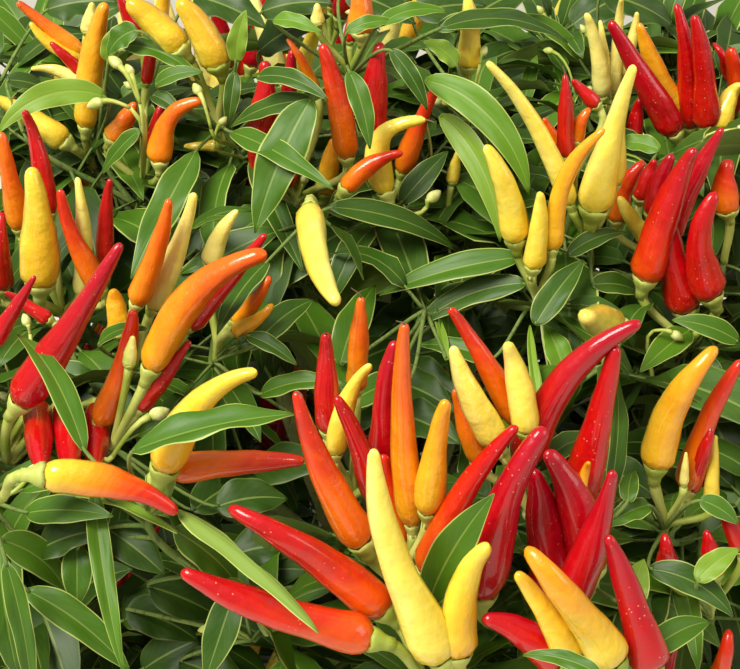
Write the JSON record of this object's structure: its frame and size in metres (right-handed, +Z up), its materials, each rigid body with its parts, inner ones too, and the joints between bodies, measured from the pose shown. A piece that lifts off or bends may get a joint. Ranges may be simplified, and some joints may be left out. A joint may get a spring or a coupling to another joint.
{
  "type": "chilli pepper plant",
  "caption": "Bushy ornamental chilli pepper plant with upright trusses of yellow, orange and red pods over dark green leaves, rooted in level ground.",
  "frame": {"origin": "middle of the main stem's flat cut at ground level", "axes": "+Z up the plant, X across its wider way, -Y towards the side that the picture looks at from above"},
  "size_m": [0.5, 0.456, 0.345],
  "materials": {
    "bark": "rough fissured bark",
    "green_wood": "satin green stem",
    "foliage": "leathery semi-gloss leaf",
    "fruit": "waxy gloss pod skin, cream to yellow to orange to red",
    "stalk": "satin pale green stalk and calyx",
    "blossom": "matt cream-green flower bud"
  },
  "bodies": {
    "root": {"main_stem": "bark", "bough_top_1": "green_wood", "bough_top_2": "green_wood", "bough_top_3": "green_wood", "bough_shoulder_1": "green_wood", "bough_shoulder_2": "green_wood", "bough_shoulder_3": "green_wood", "bough_shoulder_4": "green_wood", "bough_shoulder_5": "green_wood", "bough_shoulder_6": "green_wood", "bough_shoulder_7": "green_wood", "bough_skirt_1": "green_wood", "bough_skirt_2": "green_wood", "bough_skirt_3": "green_wood", "bough_skirt_4": "green_wood", "bough_skirt_5": "green_wood", "bough_skirt_6": "green_wood", "bough_skirt_7": "green_wood", "bough_skirt_8": "green_wood", "foliage_top_1": "foliage", "foliage_top_2": "foliage", "foliage_top_3": "foliage", "foliage_shoulder_1": "foliage", "foliage_shoulder_2": "foliage", "foliage_shoulder_3": "foliage", "foliage_shoulder_4": "foliage", "foliage_shoulder_5": "foliage", "foliage_shoulder_6": "foliage", "foliage_shoulder_7": "foliage", "foliage_skirt_1": "foliage", "foliage_skirt_2": "foliage", "foliage_skirt_3": "foliage", "foliage_skirt_4": "foliage", "foliage_skirt_5": "foliage", "foliage_skirt_6": "foliage", "foliage_skirt_7": "foliage", "foliage_skirt_8": "foliage"}
  },
  "joints": []
}
